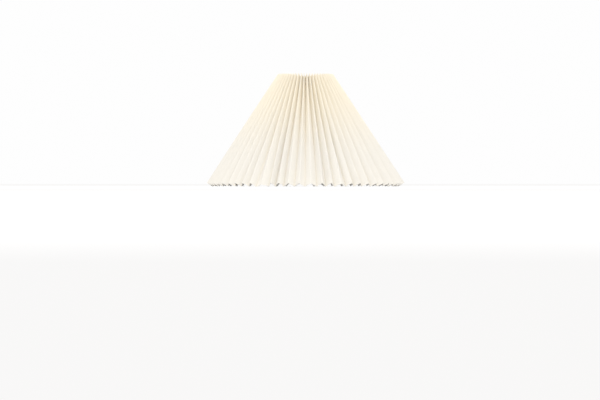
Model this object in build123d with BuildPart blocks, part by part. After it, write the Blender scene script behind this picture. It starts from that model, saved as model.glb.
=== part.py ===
from build123d import *

import os
from math import atan2, cos, degrees, hypot, radians, sin, sqrt

# Pleated coolie lamp shade: accordion-folded cloth, backed with film and sewn to a welded wire frame.
# Millimetres, +Z up along the axis. The origin is on the axis, in the plane of the cover's lowest edge.
# The folds that stick out are ridges, and the folds that lie against the frame are valleys.

# Overall form, measured over the ridges
bottom_diameter = 300.0
top_diameter = 84.0
ridge_height = 166.0

# Pleats
pleat_count = 60
panel_width = 12.0  # cloth between one fold and the next, the same from top to bottom
fabric_thickness = 0.3
film_thickness = 0.2
glue_line = 0.02

# The sheet's two ends meet on one panel, and a strip of tape holds them from inside
seam_pleat = 50
tape_width = 5.5
tape_thickness = 0.2
tape_from_edge = 6.0
tape_lengths = 24  # between two levels of the cover

# Welded wire frame
ring_wire = 3.2
strut_wire = 2.6
arm_wire = 3.0
strut_count = 6
arm_count = 3
ring_from_edge = 12.8  # along the slope, from the cover's edge to each ring
wire_clearance = 0.4  # between the thickest wire and the valleys
weld_sink = 0.2  # how deep an arm beds into the fitter's plate

# Lampholder fitter
fitter_bore = 42.0
fitter_flange = 10.0  # width of the plate around the bore
fitter_plate = 2.0
fitter_edge = 0.4  # rounding of the plate's outer edge
fitter_level = 50.0  # underside of the plate above the cover's lowest edge
collar_room = 5.5  # kept free around the bore for the lampholder's collar
arm_land = 12.0  # straight inner end of an arm
arm_bend = 9.0

# Sewing
stitch_thread = 0.5
stitch_bite = 1.1  # how far a stitch reaches past the inside of the fold it holds
stitch_clearance = 0.15
gather_thread_size = 0.8
gather_depth = 5.5  # from the ridges in to the gathering thread

# Form of the cover, worked out from the sizes above
pleat_angle = 360 / pleat_count
bottom_radius = bottom_diameter / 2
top_radius = top_diameter / 2
slope_length = hypot(bottom_radius - top_radius, ridge_height)
cone_angle = atan2(bottom_radius - top_radius, ridge_height)
slope_out = (cos(cone_angle), sin(cone_angle))  # square to the slope, in radius and height


def fold_depth(ridge_radius):
    """Depth of the folds, square to the slope, where the ridges have this radius."""
    # panel_width² = depth² + spread² · ridge · (ridge - depth · inward), solved for the depth
    spread = 2 * sin(radians(pleat_angle / 4))
    inward = slope_out[0]
    b = spread**2 * ridge_radius * inward
    c = (spread * ridge_radius) ** 2 - panel_width**2
    return (b + sqrt(b**2 - 4 * c)) / 2


top_depth = fold_depth(top_radius)
bottom_depth = fold_depth(bottom_radius)
ridge_bottom_z = bottom_depth * slope_out[1]
ridge_top_z = ridge_bottom_z + ridge_height
valley_bottom_radius = bottom_radius - bottom_depth * slope_out[0]
valley_top_radius = top_radius - top_depth * slope_out[0]
valley_top_z = ridge_top_z - top_depth * slope_out[1]


def ridge_radius_at(z):
    share = (z - ridge_bottom_z) / ridge_height
    return bottom_radius + share * (top_radius - bottom_radius)


def valley_radius_at(z):
    share = z / valley_top_z
    return valley_bottom_radius + share * (valley_top_radius - valley_bottom_radius)


def around(radius, angle):
    """A point of a level outline, from its radius and its angle in degrees."""
    return (radius * cos(radians(angle)), radius * sin(radians(angle)))


def leans(z):
    """How far a panel turns from the radial direction, at its ridge and at its valley."""
    ridge, valley, half_pitch = ridge_radius_at(z), valley_radius_at(z), radians(pleat_angle / 2)
    at_ridge = atan2(valley * sin(half_pitch), ridge - valley * cos(half_pitch))
    at_valley = atan2(ridge * sin(half_pitch), ridge * cos(half_pitch) - valley)
    return at_ridge, at_valley


def crease(radius, angle, lean, offset, outside):
    """Outline points of one fold: its sharp inner corner, or the flat outside of the crease."""
    if not outside:
        return [around(radius + offset / sin(lean), angle)]
    flat = degrees(abs(offset) * (1 - sin(lean)) / cos(lean) / radius)
    return [around(radius + offset, angle - flat), around(radius + offset, angle + flat)]


def fold_outline(z, offset):
    """The zigzag of the cloth at one level, moved out by offset from the middle of the glue line."""
    ridge, valley = ridge_radius_at(z), valley_radius_at(z)
    ridge_lean, valley_lean = leans(z)
    has_flats = abs(offset) > glue_line
    points = []
    for pleat in range(pleat_count):
        ridge_angle = (pleat + 0.5) * pleat_angle
        valley_angle = (pleat + 1) * pleat_angle
        points += crease(ridge, ridge_angle, ridge_lean, offset, has_flats and offset > 0)
        points += crease(valley, valley_angle, valley_lean, offset, has_flats and offset < 0)
    return points


def square_to_slope(radius, z, out):
    """The point that lies out from (radius, z), square to the slope."""
    return (radius + out * slope_out[0], z + out * slope_out[1])


def band_outline(trim):
    """Section of the space between two cuts square to the slope, each trim inside the cover's edge."""
    along = (trim * sin(cone_angle), trim * cos(cone_angle))
    ridge_top = (top_radius + along[0], ridge_top_z - along[1])
    valley_top = (valley_top_radius + along[0], valley_top_z - along[1])
    valley_bottom = (valley_bottom_radius - along[0], along[1])
    ridge_bottom = (bottom_radius - along[0], ridge_bottom_z + along[1])
    return [
        square_to_slope(*ridge_top, overshoot),
        square_to_slope(*valley_top, -overshoot),
        square_to_slope(*valley_bottom, -overshoot),
        square_to_slope(*ridge_bottom, overshoot),
    ]


os.makedirs("parts", exist_ok=True)

# Each layer of the cover is lofted a little past both edges, and then cut square to the slope. The
# folds close towards the top, and levels nearer together there keep the layer's thickness even.
overshoot = 4.0
loft_levels = (-overshoot, 0.69 * ridge_top_z, 0.92 * ridge_top_z, ridge_top_z + overshoot)

with BuildPart() as pleated_fabric:
    for level in loft_levels:
        with BuildSketch(Plane.XY.offset(level)):
            Polygon(*fold_outline(level, fabric_thickness), align=None)
            Polygon(*fold_outline(level, glue_line / 2), align=None, mode=Mode.SUBTRACT)
    loft(ruled=True)
    with BuildSketch(Plane.XZ):
        Polygon(*band_outline(0), align=None)
    revolve(axis=Axis.Z, mode=Mode.INTERSECT)
pleated_fabric.part.label = "pleated_fabric"
export_step(pleated_fabric.part, "parts/pleated_fabric.step")

with BuildPart() as backing_film:
    for level in loft_levels:
        with BuildSketch(Plane.XY.offset(level)):
            Polygon(*fold_outline(level, -glue_line / 2), align=None)
            Polygon(*fold_outline(level, -film_thickness), align=None, mode=Mode.SUBTRACT)
    loft(ruled=True)
    with BuildSketch(Plane.XZ):
        Polygon(*band_outline(0), align=None)
    revolve(axis=Axis.Z, mode=Mode.INTERSECT)
backing_film.part.label = "backing_film"
export_step(backing_film.part, "parts/backing_film.step")


# Seam tape, along the middle of one panel on the film's inner face
def tape_outline(z):
    """Level section of the tape: a thin strip beside the panel between a ridge and the next valley."""
    ridge_lean, valley_lean = leans(z)
    film_ridge = ridge_radius_at(z) - film_thickness / sin(ridge_lean)
    film_valley = valley_radius_at(z) - film_thickness
    flat = degrees(film_thickness * (1 - sin(valley_lean)) / cos(valley_lean) / film_valley)
    from_ridge = Vector(*around(film_ridge, (seam_pleat + 0.5) * pleat_angle))
    panel = Vector(*around(film_valley, (seam_pleat + 1) * pleat_angle - flat)) - from_ridge
    inward = panel.normalized().rotate(Axis.Z, 90 if panel.cross(from_ridge).Z < 0 else -90)
    near, far = inward * glue_line, inward * (glue_line + tape_thickness)
    start = from_ridge + panel * (0.5 - tape_width / panel_width / 2)
    end = from_ridge + panel * (0.5 + tape_width / panel_width / 2)
    return [start + near, end + near, end + far, start + far]


# The panel twists slightly, and many short lengths of tape follow it closely
tape_sections = [(loft_levels[0], tape_outline(loft_levels[0]))]
for low, high in zip(loft_levels, loft_levels[1:]):
    low_outline, high_outline = tape_outline(low), tape_outline(high)
    for step in range(1, tape_lengths + 1):
        share = step / tape_lengths
        outline = [start + (end - start) * share for start, end in zip(low_outline, high_outline)]
        tape_sections.append((low + (high - low) * share, outline))

with BuildPart() as seam_tape:
    for level, outline in tape_sections:
        with BuildSketch(Plane.XY.offset(level)):
            Polygon(*outline, align=None)
    loft(ruled=True)
    with BuildSketch(Plane.XZ):
        Polygon(*band_outline(tape_from_edge), align=None)
    revolve(axis=Axis.Z, mode=Mode.INTERSECT)
seam_tape.part.label = "seam_tape"
export_step(seam_tape.part, "parts/seam_tape.step")

# Rings, just inside the valleys
top_ring_z = valley_top_z - ring_from_edge * cos(cone_angle)
bottom_ring_z = ring_from_edge * cos(cone_angle)
wire_to_fold = max(ring_wire, strut_wire, arm_wire) / 2 + wire_clearance
top_ring_radius, bottom_ring_radius = [
    valley_radius_at(z) - film_thickness - wire_to_fold / cos(cone_angle)
    for z in (top_ring_z, bottom_ring_z)
]

with BuildPart() as top_ring:
    with Locations((0, 0, top_ring_z)):
        Torus(top_ring_radius, ring_wire / 2)
top_ring.part.label = "top_ring"
export_step(top_ring.part, "parts/top_ring.step")

with BuildPart() as bottom_ring:
    with Locations((0, 0, bottom_ring_z)):
        Torus(bottom_ring_radius, ring_wire / 2)
bottom_ring.part.label = "bottom_ring"
export_step(bottom_ring.part, "parts/bottom_ring.step")

# Fitter, a stamped washer that the lampholder stands in
with BuildPart() as fitter_ring:
    with BuildSketch(Plane.XY.offset(fitter_level)):
        Circle(fitter_bore / 2 + fitter_flange)
        Circle(fitter_bore / 2, mode=Mode.SUBTRACT)
    extrude(amount=fitter_plate)
    rims = fitter_ring.edges().filter_by(GeomType.CIRCLE).group_by(SortBy.RADIUS)[-1]
    fillet(rims, min(fitter_edge, fitter_plate / 3))
fitter_ring.part.label = "fitter_ring"
export_step(fitter_ring.part, "parts/fitter_ring.step")

# Struts, from ring to ring behind evenly spaced valleys, with their ends coped to the rings
strut_step = 360 / strut_count
strut_angles = [index * strut_step for index in range(strut_count)]
for number, angle in enumerate(strut_angles, start=1):
    strut_top = Vector(*around(top_ring_radius, angle), top_ring_z)
    strut_bottom = Vector(*around(bottom_ring_radius, angle), bottom_ring_z)
    with BuildPart() as strut:
        with BuildSketch(Plane(strut_top, z_dir=strut_bottom - strut_top)):
            Circle(strut_wire / 2)
        extrude(amount=(strut_bottom - strut_top).length)
        add([top_ring.part, bottom_ring.part], mode=Mode.SUBTRACT)
    strut.part.label = f"strut_{number}"
    export_step(strut.part, f"parts/strut_{number}.step")

# Arms, from the bottom ring up to the fitter, midway between struts
arm_angles = [strut_step / 2 + index * 360 / arm_count for index in range(arm_count)]
arm_end_radius = fitter_bore / 2 + collar_room
arm_end_z = fitter_level - arm_wire / 2 + weld_sink
for number, angle in enumerate(arm_angles, start=1):
    with BuildPart() as arm:
        with BuildLine(Plane.XZ.rotated((0, 0, angle))) as route:
            FilletPolyline(
                (bottom_ring_radius, bottom_ring_z),
                (arm_end_radius + arm_land, arm_end_z),
                (arm_end_radius, arm_end_z),
                radius=arm_bend,
            )
        with BuildSketch(Plane(route.line @ 0, z_dir=route.line % 0)):
            Circle(arm_wire / 2)
        sweep()
        add([bottom_ring.part, fitter_ring.part], mode=Mode.SUBTRACT)
    arm.part.label = f"fitter_arm_{number}"
    export_step(arm.part, f"parts/fitter_arm_{number}.step")

# Stitches, one loop of thread round the ring at each valley with no strut or arm behind it
loop_in = ring_wire / 2 + stitch_clearance + stitch_thread / 2
loop_out = wire_to_fold + film_thickness + stitch_bite
loop_radius = (loop_in + loop_out) / 2
loop_shift = (loop_out - loop_in) / 2


def stitch_places(ring_radius, ring_z, welds):
    """A place for each stitch of a ring, leaving out the angles where a wire is welded to it."""
    radius, z = square_to_slope(ring_radius, ring_z, loop_shift)
    places = []
    for pleat in range(pleat_count):
        angle = pleat * pleat_angle
        nearest_weld = min(abs((angle - weld + 180) % 360 - 180) for weld in welds)
        if radians(nearest_weld) * ring_radius > max(strut_wire, arm_wire):
            places.append(Location((*around(radius, angle), z), (0, 0, angle)))
    return places


with BuildPart() as top_stitches:
    with Locations(*stitch_places(top_ring_radius, top_ring_z, strut_angles)):
        Torus(loop_radius, stitch_thread / 2, rotation=(90, 0, 0))
top_stitches.part.label = "top_stitches"
export_step(top_stitches.part, "parts/top_stitches.step")

with BuildPart() as bottom_stitches:
    with Locations(*stitch_places(bottom_ring_radius, bottom_ring_z, strut_angles + arm_angles)):
        Torus(loop_radius, stitch_thread / 2, rotation=(90, 0, 0))
bottom_stitches.part.label = "bottom_stitches"
export_step(bottom_stitches.part, "parts/bottom_stitches.step")

# Gathering thread, run through every panel level with the top ring's stitches
gather_radius, gather_z = square_to_slope(
    top_radius + ring_from_edge * sin(cone_angle),
    ridge_top_z - ring_from_edge * cos(cone_angle),
    -gather_depth,
)
with BuildPart() as gather_thread:
    with Locations((0, 0, gather_z)):
        Torus(gather_radius, gather_thread_size / 2)
gather_thread.part.label = "gather_thread"
export_step(gather_thread.part, "parts/gather_thread.step")

print(f"Flat cloth: {2 * pleat_count * panel_width:.0f} mm by {slope_length:.1f} mm")
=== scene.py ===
import math
import random

import bpy
import numpy as np
from mathutils import Matrix, Vector


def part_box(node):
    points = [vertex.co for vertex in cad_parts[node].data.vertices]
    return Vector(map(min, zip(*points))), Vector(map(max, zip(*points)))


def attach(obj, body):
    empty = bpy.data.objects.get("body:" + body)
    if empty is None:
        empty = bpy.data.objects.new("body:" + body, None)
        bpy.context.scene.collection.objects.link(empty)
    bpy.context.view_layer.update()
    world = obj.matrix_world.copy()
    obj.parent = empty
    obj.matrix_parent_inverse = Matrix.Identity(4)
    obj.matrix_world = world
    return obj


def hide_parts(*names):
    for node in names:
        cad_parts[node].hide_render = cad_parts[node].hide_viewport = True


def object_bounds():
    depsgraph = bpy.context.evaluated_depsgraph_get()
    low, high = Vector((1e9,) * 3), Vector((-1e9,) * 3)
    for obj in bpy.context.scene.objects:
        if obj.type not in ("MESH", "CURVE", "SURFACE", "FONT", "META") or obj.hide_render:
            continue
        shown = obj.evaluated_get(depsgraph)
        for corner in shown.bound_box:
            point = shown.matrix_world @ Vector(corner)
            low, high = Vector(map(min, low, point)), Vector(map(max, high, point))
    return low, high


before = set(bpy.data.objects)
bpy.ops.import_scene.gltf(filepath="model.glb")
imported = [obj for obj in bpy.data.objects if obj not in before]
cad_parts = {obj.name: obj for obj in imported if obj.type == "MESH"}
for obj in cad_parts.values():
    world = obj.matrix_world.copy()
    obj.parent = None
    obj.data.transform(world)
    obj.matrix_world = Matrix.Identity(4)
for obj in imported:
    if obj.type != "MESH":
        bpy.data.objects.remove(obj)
cadLow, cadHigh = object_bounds()
bpy.ops.object.select_all(action="DESELECT")
print("frame loaded,", len(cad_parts), "CAD nodes")


# Small helpers for meshes and materials
def fromHex(code):
    channels = [int(code[i:i + 2], 16) / 255 for i in (1, 3, 5)]
    linear = [c / 12.92 if c <= 0.04045 else ((c + 0.055) / 1.055) ** 2.4 for c in channels]
    return (*linear, 1.0)


def addNode(material, kind, values=None, links=None, **settings):
    node = material.node_tree.nodes.new(kind)
    for name, value in settings.items():
        setattr(node, name, value)
    for socket, value in (values or {}).items():
        node.inputs[socket].default_value = value
    for socket, source in (links or {}).items():
        material.node_tree.links.new(source, node.inputs[socket])
    return node


def newMaterial(name):
    material = bpy.data.materials.new(name)
    material.use_nodes = True
    material.node_tree.nodes.clear()
    return material


def placeInMm(material, stripLength):
    uv = addNode(material, "ShaderNodeUVMap", uv_map="strip")
    return addNode(material, "ShaderNodeMapping",
                   {"Scale": (stripLength * 1000, stripLength * 1000, 1)},
                   {"Vector": uv.outputs["UV"]})


def blend(material, first, second, factor):
    mix = addNode(material, "ShaderNodeMix", {"A": fromHex(first), "B": fromHex(second)},
                  data_type="RGBA")
    material.node_tree.links.new(factor, mix.inputs["Factor"])
    return mix


def asPiece(obj, material, replaced=()):
    obj.data.materials.clear()
    obj.data.materials.append(material)
    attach(obj, "root")
    if replaced:
        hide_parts(*replaced)
    return obj


def selectOnly(obj):
    bpy.ops.object.select_all(action="DESELECT")
    obj.select_set(True)
    bpy.context.view_layer.objects.active = obj


# Cotton and linen cloth, woven plain: matt, softly see-through, with slubs,
# and painted light: yellower and brighter where the pleats crowd, standing in for light bounced
# between them
cloth = {
    "lit": "#EEE8DB",
    # painted light: the tint of light bounced between the pleats
    "paintedBounceTint": "#FAEED2",
    "threadSpacing": 0.9,  # mm; the real threads lie 0.35 mm apart, which is too fine to show
    "slubLength": 14.0,  # mm
    "slubWidth": 1.1,  # per mm, across a slub
    "slubHeight": 0.6,  # against the weave's
    "yellowFrom": 40.0,  # mm up the slope
    "yellowTo": 185.0,
    "valleyReach": 0.35,  # share of a panel that the valley's yellow covers
    "valleyPaintedBounce": 0.35,
    "unevenColour": (0.965, 1.02),
    "lightThrough": 0.25,
}
waveStep = 20 / 63  # about the distance between a wave texture's bands at a scale of one


def wovenCloth(stripLength):
    material = newMaterial("cotton_linen_cloth_woven")
    inMm = placeInMm(material, stripLength)
    threads = []
    for direction in ("X", "Y"):
        wave = addNode(material, "ShaderNodeTexWave",
                       {"Scale": waveStep / cloth["threadSpacing"],
                        "Distortion": 0.6, "Detail": 1.0},
                       {"Vector": inMm.outputs["Vector"]}, bands_direction=direction)
        threads.append(wave.outputs["Fac"])
    weave = addNode(material, "ShaderNodeMath", links={0: threads[0], 1: threads[1]},
                    operation="ADD")
    slubs = []
    alongSlub, acrossSlub = 1 / cloth["slubLength"], cloth["slubWidth"]
    for stretch in ((alongSlub, acrossSlub, 1), (acrossSlub, alongSlub, 1)):
        along = addNode(material, "ShaderNodeMapping", {"Scale": stretch},
                        {"Vector": inMm.outputs["Vector"]})
        noise = addNode(material, "ShaderNodeTexNoise", {"Scale": 1.0, "Detail": 3.0},
                        {"Vector": along.outputs["Vector"]}, noise_dimensions="2D")
        slubs.append(noise.outputs["Fac"])
    slub = addNode(material, "ShaderNodeMath", links={0: slubs[0], 1: slubs[1]}, operation="ADD")
    height = addNode(material, "ShaderNodeMath", {1: cloth["slubHeight"]},
                     {0: slub.outputs[0], 2: weave.outputs[0]}, operation="MULTIPLY_ADD")
    # painted light: yellower and brighter towards the top and in each valley, standing in for light
    # caught and bounced between the pleats
    flatPlace = addNode(material, "ShaderNodeSeparateXYZ", links={0: inMm.outputs["Vector"]})
    upSlope = addNode(material, "ShaderNodeMapRange",
                      {"From Min": cloth["yellowFrom"], "From Max": cloth["yellowTo"]},
                      {"Value": flatPlace.outputs["Y"]}, interpolation_type="SMOOTHSTEP")
    foldPlace = addNode(material, "ShaderNodeAttribute", attribute_name="foldPlace")
    inValley = addNode(material, "ShaderNodeMapRange",
                       {"From Min": cloth["valleyReach"], "From Max": 0.0,
                        "To Max": cloth["valleyPaintedBounce"]},
                       {"Value": foldPlace.outputs["Fac"]})
    paintedBounceShare = addNode(material, "ShaderNodeMath",
                       links={0: upSlope.outputs[0], 1: inValley.outputs[0]},
                       operation="ADD", use_clamp=True)
    # painted light: the cloth blends towards the bounce tint towards the top and in the valleys
    tint = blend(material, cloth["lit"], cloth["paintedBounceTint"], paintedBounceShare.outputs[0])
    darkest, lightest = cloth["unevenColour"]
    uneven = addNode(material, "ShaderNodeMapRange",
                     {"From Min": 0.7, "From Max": 1.3, "To Min": darkest, "To Max": lightest},
                     {"Value": slub.outputs[0]})
    colour = addNode(material, "ShaderNodeVectorMath",
                     links={0: tint.outputs["Result"]}, operation="SCALE")
    material.node_tree.links.new(uneven.outputs[0], colour.inputs["Scale"])
    bump = addNode(material, "ShaderNodeBump", {"Strength": 0.35, "Distance": 0.0001},
                   {"Height": height.outputs[0]})
    surface = addNode(material, "ShaderNodeBsdfPrincipled",
                      {"Roughness": 0.88, "IOR": 1.5, "Specular IOR Level": 0.25,
                       "Sheen Weight": 0.12, "Sheen Roughness": 0.5},
                      {"Base Color": colour.outputs[0], "Normal": bump.outputs[0]})
    through = addNode(material, "ShaderNodeBsdfTranslucent", links={"Color": colour.outputs[0]})
    both = addNode(material, "ShaderNodeMixShader", {0: cloth["lightThrough"]},
                   {1: surface.outputs[0], 2: through.outputs[0]})
    addNode(material, "ShaderNodeOutputMaterial", links={"Surface": both.outputs[0]})
    return material


# Polystyrene film, calendered: white, smooth, a soft satin, and milky to light
film = {
    "white": "#F8F6F1",
    "creased": "#FBFAF7",  # film whitens where it is creased
    "creaseReach": 0.06,  # share of a panel
    "ripple": 9.0,  # mm
    "lightThrough": 0.35,
}


def milkyFilm(stripLength):
    material = newMaterial("polystyrene_film_calendered")
    inMm = placeInMm(material, stripLength)
    ripple = addNode(material, "ShaderNodeTexNoise", {"Scale": 1 / film["ripple"], "Detail": 2.0},
                     {"Vector": inMm.outputs["Vector"]}, noise_dimensions="2D")
    foldPlace = addNode(material, "ShaderNodeAttribute", attribute_name="foldPlace")
    stressed = addNode(material, "ShaderNodeMapRange",
                       {"From Min": film["creaseReach"], "From Max": 0.0},
                       {"Value": foldPlace.outputs["Fac"]})
    tint = blend(material, film["white"], film["creased"], stressed.outputs[0])
    sheen = addNode(material, "ShaderNodeMapRange", {"To Min": 0.38, "To Max": 0.52},
                    {"Value": ripple.outputs["Fac"]})
    bump = addNode(material, "ShaderNodeBump", {"Strength": 0.2, "Distance": 0.0002},
                   {"Height": ripple.outputs["Fac"]})
    surface = addNode(material, "ShaderNodeBsdfPrincipled", {"IOR": 1.59},
                      {"Base Color": tint.outputs["Result"], "Roughness": sheen.outputs[0],
                       "Normal": bump.outputs[0]})
    through = addNode(material, "ShaderNodeBsdfTranslucent",
                      links={"Color": tint.outputs["Result"]})
    both = addNode(material, "ShaderNodeMixShader", {0: film["lightThrough"]},
                   {1: surface.outputs[0], 2: through.outputs[0]})
    addNode(material, "ShaderNodeOutputMaterial", links={"Surface": both.outputs[0]})
    return material


# Steel wire, powder coated: white, an even satin with a fine orange peel
powder = {
    "white": "#ECEBE6",
    "duller": "#E2E0D8",
    "patches": 60.0,  # per metre
    "peel": 0.8,  # mm; real grain is about half of that
}


def powderCoat():
    material = newMaterial("steel_powder_coated")
    place = addNode(material, "ShaderNodeTexCoord")
    peel = addNode(material, "ShaderNodeTexNoise", {"Scale": 1000 / powder["peel"], "Detail": 2.0},
                   {"Vector": place.outputs["Object"]})
    patches = addNode(material, "ShaderNodeTexNoise", {"Scale": powder["patches"], "Detail": 3.0},
                      {"Vector": place.outputs["Object"]})
    tint = blend(material, powder["white"], powder["duller"], patches.outputs["Fac"])
    rough = addNode(material, "ShaderNodeMapRange", {"To Min": 0.36, "To Max": 0.5},
                    {"Value": peel.outputs["Fac"]})
    bump = addNode(material, "ShaderNodeBump", {"Strength": 0.25, "Distance": 0.00005},
                   {"Height": peel.outputs["Fac"]})
    surface = addNode(material, "ShaderNodeBsdfPrincipled", {"IOR": 1.5},
                      {"Base Color": tint.outputs["Result"], "Roughness": rough.outputs[0],
                       "Normal": bump.outputs[0]})
    addNode(material, "ShaderNodeOutputMaterial", links={"Surface": surface.outputs[0]})
    return material


# Cotton sewing thread, twisted: matt, with slanting plies that catch the light, and painted shade
# in the grooves between them
sewingThread = {
    "cream": "#F4ECD8",
    "pliesGrooveShade": "#E2D6BC",
    "ply": 0.7,  # mm along the thread between plies
}
slantStep = math.pi / 5  # the distance between a diagonal wave texture's bands at a scale of one


def twistedThread(name, threadLength):
    material = newMaterial(name)
    uv = addNode(material, "ShaderNodeUVMap", uv_map="UVMap")
    slant = addNode(material, "ShaderNodeMapping",
                    {"Scale": (threadLength * 1000 / sewingThread["ply"], 1, 1)},
                    {"Vector": uv.outputs["UV"]})
    wave = addNode(material, "ShaderNodeTexWave", {"Scale": slantStep},
                   {"Vector": slant.outputs["Vector"]}, bands_direction="DIAGONAL")
    # painted shade: the grooves between the plies are darker
    tint = blend(material, sewingThread["pliesGrooveShade"], sewingThread["cream"],
                 wave.outputs["Fac"])
    bump = addNode(material, "ShaderNodeBump", {"Strength": 0.6, "Distance": 0.0001},
                   {"Height": wave.outputs["Fac"]})
    surface = addNode(material, "ShaderNodeBsdfPrincipled",
                      {"Roughness": 0.8, "IOR": 1.5, "Specular IOR Level": 0.3,
                       "Sheen Weight": 0.15},
                      {"Base Color": tint.outputs["Result"], "Normal": bump.outputs[0]})
    addNode(material, "ShaderNodeOutputMaterial", links={"Surface": surface.outputs[0]})
    return material


# Polypropylene tape, cast and frosted: milky and faintly glossy, with fine grain
tape = {"frost": "#EFEBDD", "grain": 0.6}  # mm


def frostedTape():
    material = newMaterial("polypropylene_tape_frosted")
    place = addNode(material, "ShaderNodeTexCoord")
    grain = addNode(material, "ShaderNodeTexNoise", {"Scale": 1000 / tape["grain"], "Detail": 2.0},
                    {"Vector": place.outputs["Object"]})
    rough = addNode(material, "ShaderNodeMapRange", {"To Min": 0.25, "To Max": 0.45},
                    {"Value": grain.outputs["Fac"]})
    bump = addNode(material, "ShaderNodeBump", {"Strength": 0.2, "Distance": 0.00005},
                   {"Height": grain.outputs["Fac"]})
    surface = addNode(material, "ShaderNodeBsdfPrincipled",
                      {"Base Color": fromHex(tape["frost"]), "IOR": 1.49},
                      {"Roughness": rough.outputs[0], "Normal": bump.outputs[0]})
    addNode(material, "ShaderNodeOutputMaterial", links={"Surface": surface.outputs[0]})
    return material


# The cover: one strip of laminated cloth, folded to and fro and closed into a cone
cover = {
    "pleats": 60,
    "panelWidth": 0.012,  # cloth from one fold to the next
    "slopeLength": 0.19804,
    "bottomDiameter": 0.3,  # over the ridges
    "topDiameter": 0.084,
    "clothThick": 0.0003,
    "filmThick": 0.0002,
    "glueLine": 0.00002,
    "seamPanel": 101,  # counted from the valley over +X
    "seamOverlap": (0.36, 0.64),  # where the strip starts and ends, as shares of the seam's panel
    "rows": 30,
    "across": 5,  # faces across a panel
    "roundOver": 3,  # extra points round the outside of a crease
    "bottomWander": 0.5,  # degrees that a valley strays from its even place
    "topWander": 0.4,
    "midWander": 0.25,
    "slip": 0.0008,  # how far up the slope a fold may sit
    "bow": 0.00025,  # how far a panel curves
    "bowShares": (1.2, 0.5),  # of that, at the bottom and at the top
    "overlapEase": 0.3,  # share of a panel over which the lifted end comes down
    "creaseAngle": 38,  # degrees; a sharper edge is shaded as a crease
    "seed": 11,
}
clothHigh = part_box("pleated_fabric")[1]
pitch = 2 * math.pi / cover["pleats"]
bottomRadius, topRadius = cover["bottomDiameter"] / 2, cover["topDiameter"] / 2
coneAngle = math.asin((bottomRadius - topRadius) / cover["slopeLength"])
overlapStart, overlapEnd = cover["seamOverlap"]
stripLength = (2 * cover["pleats"] + overlapEnd - overlapStart) * cover["panelWidth"]


def foldDepth(ridgeRadius):  # along the cover's normal, for panels of one width
    spread = 2 * math.sin(pitch / 4)
    b = spread ** 2 * ridgeRadius * math.cos(coneAngle)
    c = (spread * ridgeRadius) ** 2 - cover["panelWidth"] ** 2
    return (b + math.sqrt(b * b - 4 * c)) / 2


def normalised(vectors):
    return vectors / np.linalg.norm(vectors, axis=-1, keepdims=True)


def foldLines():
    rng = random.Random(cover["seed"])
    rise = np.linspace(0, 1, cover["rows"] + 1)
    bottomDepth, topDepth = foldDepth(bottomRadius), foldDepth(topRadius)
    bottomValley = bottomRadius - bottomDepth * math.cos(coneAngle)
    topValley = topRadius - topDepth * math.cos(coneAngle)
    topZ = clothHigh.z - cover["clothThick"] / 2 - topDepth * math.sin(coneAngle)
    valleys = []
    for k in range(cover["pleats"]):
        foot = rng.gauss(0, cover["bottomWander"])
        head = rng.gauss(0, cover["topWander"])
        middle = rng.gauss(0, cover["midWander"])
        stray = foot * (1 - rise) + head * rise + middle * np.sin(np.pi * rise)
        angle = k * pitch + np.radians(stray)
        slip = rng.uniform(0, cover["slip"])
        radius = bottomValley + (topValley - bottomValley) * rise - slip * math.sin(coneAngle)
        z = topZ * rise + slip * math.cos(coneAngle)
        valleys.append(np.stack([radius * np.cos(angle), radius * np.sin(angle), z], axis=-1))
    lines = []
    for k in range(cover["pleats"]):
        here, after = valleys[k], valleys[(k + 1) % cover["pleats"]]
        middle = (here + after) / 2
        outward = normalised(middle * (1, 1, 0)) * math.cos(coneAngle)
        outward = outward + np.array([0, 0, math.sin(coneAngle)])
        halfGap = np.linalg.norm(after - here, axis=-1, keepdims=True) / 2
        ridge = middle + outward * np.sqrt(cover["panelWidth"] ** 2 - halfGap ** 2)
        lines += [here, ridge]
    return lines


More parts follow.
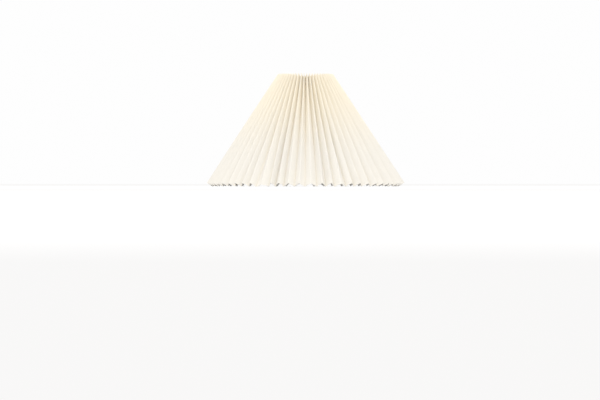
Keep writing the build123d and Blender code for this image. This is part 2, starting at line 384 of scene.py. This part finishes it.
# one surface of a layer, offset from the folded middle, as columns of points from bottom to top
def surfaceColumns(lines, bows, offset):
    count = len(lines)
    slope = [line[-1] - line[0] for line in lines]
    along, width, normal = [], [], []
    for q in range(count):
        step = lines[(q + 1) % count] - lines[q]
        width.append(np.linalg.norm(step, axis=-1, keepdims=True))
        along.append(step / width[-1])
        normal.append(normalised(np.cross(along[-1], slope[q])))
    tanLean = []
    for q in range(count):
        cosFold = np.sum(-along[q - 1] * along[q], axis=-1, keepdims=True)
        tanLean.append(np.sqrt((1 - cosFold) / (1 + cosFold)))
    startPlace = overlapStart * cover["panelWidth"]
    lift = cover["clothThick"] + cover["filmThick"] + cover["glueLine"]
    columns, places, folds = [], [], []
    for i in range(count + 1):
        q = (cover["seamPanel"] + i) % count
        fromValley = q % 2 == 0
        insideA = fromValley == (offset > 0)
        insideB = not insideA
        low = abs(offset) / tanLean[q] if insideA else 0 * width[q]
        high = width[q] - (abs(offset) / tanLean[(q + 1) % count] if insideB else 0)
        if i == 0:
            low = overlapStart * width[q]
        if i == count:
            high = overlapEnd * width[q]
        for step in range(cover["across"] + 1):
            if step == 0 and insideA and i > 0:
                continue  # shared with the panel before
            x = low + (high - low) * step / cover["across"]
            share = x / width[q]
            raised = offset + bows[q] * np.sin(np.pi * share) ** 2
            if i == 0:
                ease = np.clip((share - overlapEnd) / cover["overlapEase"], 0, 1)
                raised = raised + lift * (1 - ease * ease * (3 - 2 * ease))
            columns.append(lines[q] + along[q] * x + normal[q] * raised)
            places.append(i * cover["panelWidth"] + float(np.mean(x)) - startPlace)
            folds.append(float(np.mean(share)) if fromValley else 1 - float(np.mean(share)))
        if i < count and not insideB:
            after = normal[(q + 1) % count]
            middle = normalised(normal[q] + after)
            side = normalised(normal[q] - after)
            cosTurn = np.sum(normal[q] * middle, axis=-1, keepdims=True)
            turn = np.arccos(np.clip(cosTurn, -1, 1))
            for k in range(cover["roundOver"]):
                angle = turn * (1 - 2 * (k + 1) / (cover["roundOver"] + 1))
                direction = middle * np.cos(angle) + side * np.sin(angle)
                columns.append(lines[(q + 1) % count] + direction * offset)
                places.append((i + 1) * cover["panelWidth"] - startPlace)
                folds.append(1.0 if fromValley else 0.0)
    return columns, places, folds


def foldedLayer(name, lines, bows, outer, inner):
    rows = cover["rows"] + 1
    columnsOut, placesOut, foldsOut = surfaceColumns(lines, bows, outer)
    columnsIn, placesIn, foldsIn = surfaceColumns(lines, bows, inner)
    points = np.concatenate([np.concatenate(columnsOut), np.concatenate(columnsIn)])
    countOut, countIn = len(columnsOut), len(columnsIn)

    def out(column, row):
        return column * rows + row

    def back(column, row):
        return (countOut + column) * rows + row

    faces = []
    for row in range(rows - 1):
        for c in range(countOut - 1):
            faces.append((out(c, row), out(c + 1, row), out(c + 1, row + 1), out(c, row + 1)))
        for c in range(countIn - 1):
            faces.append((back(c, row), back(c, row + 1), back(c + 1, row + 1), back(c + 1, row)))
        faces.append((out(0, row), out(0, row + 1), back(0, row + 1), back(0, row)))
        last, lastIn = countOut - 1, countIn - 1
        faces.append((out(last, row), back(lastIn, row), back(lastIn, row + 1), out(last, row + 1)))
    for row, flip in ((0, True), (rows - 1, False)):  # triangles close the two cut edges
        a = b = 0
        while a < countOut - 1 or b < countIn - 1:
            more = a < countOut - 1
            if b == countIn - 1 or (more and placesOut[a + 1] <= placesIn[b + 1]):
                face = (out(a, row), out(a + 1, row), back(b, row))
                a += 1
            else:
                face = (out(a, row), back(b + 1, row), back(b, row))
                b += 1
            faces.append(face[::-1] if flip else face)
    mesh = bpy.data.meshes.new(name)
    mesh.from_pydata(points.tolist(), [], faces)
    rise = np.tile(np.linspace(0, 1, rows), countOut + countIn)
    rise = rise * cover["slopeLength"] / stripLength
    flat = np.repeat(np.array(placesOut + placesIn), rows) / stripLength
    corners = np.zeros(len(mesh.loops), np.int32)
    mesh.loops.foreach_get("vertex_index", corners)
    strip = mesh.uv_layers.new(name="strip")
    flatPlaces = np.stack([flat[corners], rise[corners]], axis=-1)
    strip.data.foreach_set("uv", flatPlaces.astype(np.float32).ravel())
    foldPlace = mesh.attributes.new("foldPlace", "FLOAT", "POINT")
    foldPlace.data.foreach_set("value", np.repeat(np.array(foldsOut + foldsIn, np.float32), rows))
    obj = bpy.data.objects.new(name, mesh)
    bpy.context.scene.collection.objects.link(obj)
    selectOnly(obj)
    bpy.ops.object.shade_smooth_by_angle(angle=math.radians(cover["creaseAngle"]))
    mesh.validate()
    return obj


lines = foldLines()
bowRng = random.Random(cover["seed"] + 1)
bowByRow = np.linspace(*cover["bowShares"], cover["rows"] + 1)[:, None]
bows = [bowRng.gauss(0, cover["bow"]) * bowByRow for _ in lines]
pleatedCloth = foldedLayer("pleated_cloth", lines, bows, cover["clothThick"],
                           cover["glueLine"] / 2)
asPiece(pleatedCloth, wovenCloth(stripLength), ["pleated_fabric"])
print("cloth folded:", len(pleatedCloth.data.polygons), "faces")
filmLining = foldedLayer("film_lining", lines, bows, -cover["glueLine"] / 2,
                         -cover["filmThick"])
asPiece(filmLining, milkyFilm(stripLength), ["backing_film"])
print("film folded:", len(filmLining.data.polygons), "faces")


# Sewing: a whipped thread round each ring, and the gathering thread through the panels
sewing = {
    "thread": 0.0005,
    "ringGap": 0.00015,  # from the wire to the thread
    "sideGap": 0.0002,  # more than that beside the wire
    "bite": 0.0011,
    "wireToFold": 0.002,
    "turnWidth": 0.0011,  # along the ring, half the width of one turn
    "pointsPerTurn": 16,
    "weldRoom": 0.0026,  # a valley this near to a weld has no turn
    "gather": 0.0008,
    "strandShare": 0.54,  # a strand's thickness against the gathering thread's
    "twist": 0.0028,  # along the gathering thread, one turn of its two strands
    "pointsPerTwist": 10,
    "sag": 0.00025,  # the gathering thread isn't pulled quite level
    "sags": 15,
}


def ringOf(node):
    low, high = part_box(node)
    wire = high.z - low.z
    return (high.x - low.x) / 2 - wire / 2, (low.z + high.z) / 2, wire


def valleyAngle(index, z):
    line = lines[2 * index]
    row = np.interp(z, line[:, 2], np.arange(len(line)))
    point = [np.interp(row, np.arange(len(line)), line[:, axis]) for axis in (0, 1)]
    return math.atan2(point[1], point[0])


def threadCurve(name, paths, thickness, cyclic):
    curve = bpy.data.curves.new(name, "CURVE")
    curve.dimensions = "3D"
    curve.bevel_depth = thickness / 2
    curve.bevel_resolution = 1
    curve.resolution_u = 1
    for path in paths:
        spline = curve.splines.new("POLY")
        spline.points.add(len(path) - 1)
        for point, place in zip(spline.points, path):
            point.co = (*place, 1)
        spline.use_cyclic_u = cyclic
    obj = bpy.data.objects.new(name, curve)
    bpy.context.scene.collection.objects.link(obj)
    selectOnly(obj)
    bpy.ops.object.convert(target="MESH")
    obj = bpy.context.active_object
    bpy.ops.object.shade_smooth()
    return obj


def whippedStitches(name, ringNode, weldedAt, replaced):
    ringRadius, ringZ, wire = ringOf(ringNode)
    near = wire / 2 + sewing["ringGap"] + sewing["thread"] / 2
    far = sewing["wireToFold"] + cover["filmThick"] + sewing["bite"]
    beside = near + sewing["sideGap"]
    halfTurn = sewing["turnWidth"] / ringRadius
    count = sewing["pointsPerTurn"]
    path = []
    for k in range(cover["pleats"]):
        angle = valleyAngle(k, ringZ)
        gap = min(abs((angle - welded + math.pi) % (2 * math.pi) - math.pi) for welded in weldedAt)
        turns = gap * ringRadius > sewing["weldRoom"]
        for step in range(count):
            share = (step + 0.5) / count
            place = angle + halfTurn * (2 * share - 1)
            around = math.pi + (2 * math.pi * share if turns else 0)
            reach = near + (far - near) * (0.5 + 0.5 * math.cos(around))
            outward = reach * math.cos(around)
            upward = (beside + (reach - beside) * abs(math.cos(around))) * math.sin(around)
            radius = ringRadius + outward * math.cos(coneAngle) - upward * math.sin(coneAngle)
            z = ringZ + outward * math.sin(coneAngle) + upward * math.cos(coneAngle)
            path.append((radius * math.cos(place), radius * math.sin(place), z))
    stitches = threadCurve(name, [path], sewing["thread"], True)
    threadLength = sum(math.dist(a, b) for a, b in zip(path, path[1:]))
    return asPiece(stitches, twistedThread(name + "_cotton", threadLength), replaced)


strutAngles = [math.radians(60 * k) for k in range(6)]
armAngles = [math.radians(30 + 120 * k) for k in range(3)]
topStitches = whippedStitches("top_whip_stitches", "top_ring", strutAngles,
                              ["top_stitches"])
bottomStitches = whippedStitches("bottom_whip_stitches", "bottom_ring", strutAngles + armAngles,
                                 ["bottom_stitches"])


def gatheringThread():
    low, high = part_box("gather_thread")
    radius, z = (high.x - low.x - sewing["gather"]) / 2, (low.z + high.z) / 2
    turns = round(2 * math.pi * radius / sewing["twist"])
    count = sewing["pointsPerTwist"] * turns
    strand = sewing["gather"] * sewing["strandShare"]
    helix = (sewing["gather"] - strand) / 2
    paths = []
    for startAngle in (0, math.pi):
        path = []
        for k in range(count):
            angle = 2 * math.pi * k / count
            around = startAngle + angle * turns
            sag = sewing["sag"] * math.sin(sewing["sags"] * angle)
            reach = radius + helix * math.cos(around)
            path.append((reach * math.cos(angle), reach * math.sin(angle),
                         z + sag + helix * math.sin(around)))
        paths.append(path)
    thread = threadCurve("gathering_thread", paths, strand, True)
    cotton = twistedThread("gathering_cotton", 2 * math.pi * radius)
    return asPiece(thread, cotton, ["gather_thread"])


gather = gatheringThread()
print("sewing done")


# The seam's tape, laid on the film of the seam's panel
seamTape = {
    "width": 0.0055,
    "thick": 0.0002,
    "fromEdge": 0.006,
    "glueLine": 0.00003,
    "columns": 5,
}


def tapeStrip():
    q = cover["seamPanel"]
    ridgeLine, valleyLine = lines[q], lines[(q + 1) % len(lines)]
    across = valleyLine - ridgeLine
    width = np.linalg.norm(across, axis=-1, keepdims=True)
    across = across / width
    facing = normalised(np.cross(across, ridgeLine[-1] - ridgeLine[0]))
    first = seamTape["fromEdge"] / cover["slopeLength"] * cover["rows"]
    rowPlaces = np.linspace(first, cover["rows"] - first, cover["rows"] + 1)
    points, columns = [], seamTape["columns"]
    for c in range(columns):
        x = width / 2 + seamTape["width"] * (c / (columns - 1) - 0.5)
        raised = bows[q] * np.sin(np.pi * x / width) ** 2
        raised = raised - cover["filmThick"] - seamTape["glueLine"]
        column = ridgeLine + across * x + facing * raised
        points += [[np.interp(row, np.arange(len(column)), column[:, axis]) for axis in range(3)]
                   for row in rowPlaces]
    rows = len(rowPlaces)
    faces = [(c * rows + r, (c + 1) * rows + r, (c + 1) * rows + r + 1, c * rows + r + 1)
             for c in range(columns - 1) for r in range(rows - 1)]
    mesh = bpy.data.meshes.new("seam_strip")
    mesh.from_pydata([tuple(map(float, point)) for point in points], [], faces)
    strip = bpy.data.objects.new("seam_strip", mesh)
    bpy.context.scene.collection.objects.link(strip)
    selectOnly(strip)
    solid = strip.modifiers.new("thickness", "SOLIDIFY")
    solid.thickness = seamTape["thick"]
    solid.offset = -1  # away from the film
    bpy.ops.object.modifier_apply(modifier=solid.name)
    return asPiece(strip, frostedTape(), ["seam_tape"])


tapeStrip()
print("seam taped")

# The welded frame keeps its CAD shape and gets its powder coat
coat = powderCoat()
frameNodes = [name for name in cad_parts
              if name.endswith("ring") or name.startswith(("strut", "fitter"))]
for name in frameNodes:
    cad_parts[name].data.materials.clear()
    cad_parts[name].data.materials.append(coat)
print("frame coated:", len(frameNodes), "nodes")

# Weld beads, where a wire's end meets a ring
weld = {
    "reach": 0.0011,
    "height": 0.0014,
    "foot": 0.45,  # where a bead starts, as a share of the ring wire's radius
    "throat": 0.96,  # its top end against the wire's radius, so that it closes inside the wire
    "narrow": 0.66,  # its width across the ring against its length along it
    "steps": 5,
    "sides": 18,
    "uneven": 0.00008,
    "creaseAngle": 50,  # degrees
}
arm = {"bendRadius": 0.0385, "sink": 0.0002}  # where an arm turns level under the fitter


def weldBead(name, place, wireDirection, ringDirection, wireRadius, ringHalf, seed):
    reached = wireRadius + weld["reach"]
    bpy.ops.mesh.primitive_circle_add(vertices=weld["sides"], radius=reached, fill_type="NGON")
    bead = bpy.context.active_object
    bead.name = name
    bpy.ops.object.mode_set(mode="EDIT")
    bpy.ops.mesh.select_all(action="SELECT")
    bpy.ops.transform.translate(value=(0, 0, ringHalf * weld["foot"]))
    climbed = 0.0
    for step in range(1, weld["steps"] + 1):
        turn = math.pi / 2 * step / weld["steps"]
        # hollow, as a fillet weld sets
        radius = wireRadius * weld["throat"] + weld["reach"] * (1 - math.sin(turn))
        height = (ringHalf * (1 - weld["foot"]) + weld["height"]) * (1 - math.cos(turn))
        lift = (0, 0, height - climbed)
        bpy.ops.mesh.extrude_region_move(TRANSFORM_OT_translate={"value": lift})
        shrink = radius / reached
        bpy.ops.transform.resize(value=(shrink, shrink, 1), center_override=(0, 0, 0))
        reached, climbed = radius, height
    bpy.ops.mesh.select_all(action="SELECT")
    bpy.ops.transform.vertex_random(offset=weld["uneven"], seed=seed)
    bpy.ops.mesh.normals_make_consistent(inside=False)
    bpy.ops.object.mode_set(mode="OBJECT")
    up = Vector(wireDirection).normalized()
    side = Vector(ringDirection).normalized()
    side = (side - up * side.dot(up)).normalized()
    axes = Matrix((side, up.cross(side) * weld["narrow"], up)).transposed().to_4x4()
    bead.data.transform(Matrix.Translation(place) @ axes)
    bpy.ops.object.shade_smooth_by_angle(angle=math.radians(weld["creaseAngle"]))
    return bead


def onRing(angle, radius, z):
    return Vector((radius * math.cos(angle), radius * math.sin(angle), z))


def weldBeads():
    topReach, topZ, topWire = ringOf("top_ring")
    bottomReach, bottomZ, bottomWire = ringOf("bottom_ring")
    low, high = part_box("strut_1")
    strutRadius = (high.y - low.y) / 2
    low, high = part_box("fitter_arm_3")  # the arm over -Y
    armRadius = (high.x - low.x) / 2
    fitterLow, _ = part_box("fitter_ring")
    bendZ = fitterLow.z - armRadius + arm["sink"]
    beads = []
    for number, angle in enumerate(strutAngles):
        tangent = (-math.sin(angle), math.cos(angle), 0)
        top = onRing(angle, topReach, topZ)
        bottom = onRing(angle, bottomReach, bottomZ)
        beads.append(weldBead(f"weld_top_{number}", top, bottom - top, tangent,
                              strutRadius, topWire / 2, number))
        beads.append(weldBead(f"weld_bottom_{number}", bottom, top - bottom, tangent,
                              strutRadius, bottomWire / 2, number + 10))
    for number, angle in enumerate(armAngles):
        tangent = (-math.sin(angle), math.cos(angle), 0)
        foot = onRing(angle, bottomReach, bottomZ)
        bend = onRing(angle, arm["bendRadius"], bendZ)
        beads.append(weldBead(f"weld_arm_{number}", foot, bend - foot, tangent,
                              armRadius, bottomWire / 2, number + 20))
    bpy.ops.object.select_all(action="DESELECT")
    for bead in beads:
        bead.select_set(True)
    bpy.context.view_layer.objects.active = beads[0]
    bpy.ops.object.join()
    joined = bpy.context.active_object
    joined.name = "weld_beads"
    return asPiece(joined, coat)


weldBeads()
print("welds laid")

# Floor, light and camera
studio = {
    "floorSize": 40.0,
    "background": "#FDFDFD",
    "worldStrength": 1.0,
    "floor": "#F6F5F4",
    "softboxes": (  # name, place, size, watts
        ("left_softbox", (-1.6, -1.2, 0.9), (1.0, 1.4), 1.5),
        ("right_softbox", (1.6, -1.2, 0.9), (1.0, 1.4), 1.5),
        ("front_softbox", (0.0, -3.5, 0.75), (1.6, 1.1), 7.0),
        ("top_softbox", (0.0, -0.42, 0.85), (1.1, 0.5), 5.0),
    ),
}


def paperFloor():
    material = newMaterial("paper_matt_pressed")
    place = addNode(material, "ShaderNodeTexCoord")
    fibres = addNode(material, "ShaderNodeTexNoise", {"Scale": 40.0, "Detail": 4.0},
                     {"Vector": place.outputs["Object"]})
    rough = addNode(material, "ShaderNodeMapRange", {"To Min": 0.85, "To Max": 0.95},
                    {"Value": fibres.outputs["Fac"]})
    surface = addNode(material, "ShaderNodeBsdfPrincipled",
                      {"Base Color": fromHex(studio["floor"]), "Specular IOR Level": 0.0},
                      {"Roughness": rough.outputs[0]})
    addNode(material, "ShaderNodeOutputMaterial", links={"Surface": surface.outputs[0]})
    return material


bpy.ops.mesh.primitive_plane_add(size=studio["floorSize"], location=(0, 0, cadLow.z))
floor = bpy.context.active_object
floor.name = "floor"
floor.data.materials.append(paperFloor())

world = bpy.data.worlds.new("studio")
bpy.context.scene.world = world
world.use_nodes = True
backdrop = world.node_tree.nodes["Background"]
backdrop.inputs["Color"].default_value = fromHex(studio["background"])
backdrop.inputs["Strength"].default_value = studio["worldStrength"]


def softbox(name, place, size, watts):
    data = bpy.data.lights.new(name, "AREA")
    data.shape = "RECTANGLE"
    data.size, data.size_y = size
    data.energy = watts
    light = bpy.data.objects.new(name, data)
    bpy.context.scene.collection.objects.link(light)
    light.location = place
    aim = Vector((0, 0, cadHigh.z / 2)) - Vector(place)
    light.rotation_euler = aim.to_track_quat("-Z", "Y").to_euler()


for name, place, size, watts in studio["softboxes"]:
    softbox(name, place, size, watts)

camera = {
    "distance": 3.8,
    "height": 0.005,  # above the floor, level with the shade's lower edge
    "aim": (-0.0084, 0.0, -0.0204),
    "focalLength": 149.568,  # mm, for a view 0.91 m wide at the shade's axis
    "sensor": 36.0,
    "clip": (0.02, 60),
    "gamma": 1.7,  # an airy, low-contrast print
}
lens = bpy.data.cameras.new("studio_camera")
lens.sensor_width = camera["sensor"]
lens.lens = camera["focalLength"]
lens.clip_start, lens.clip_end = camera["clip"]
eye = bpy.data.objects.new("studio_camera", lens)
bpy.context.scene.collection.objects.link(eye)
eye.location = (camera["aim"][0], -camera["distance"], cadLow.z + camera["height"])
eye.rotation_euler = (Vector(camera["aim"]) - eye.location).to_track_quat("-Z", "Y").to_euler()
bpy.context.scene.camera = eye
bpy.context.scene.view_settings.view_transform = "Standard"
bpy.context.scene.view_settings.gamma = camera["gamma"]
print("studio set")
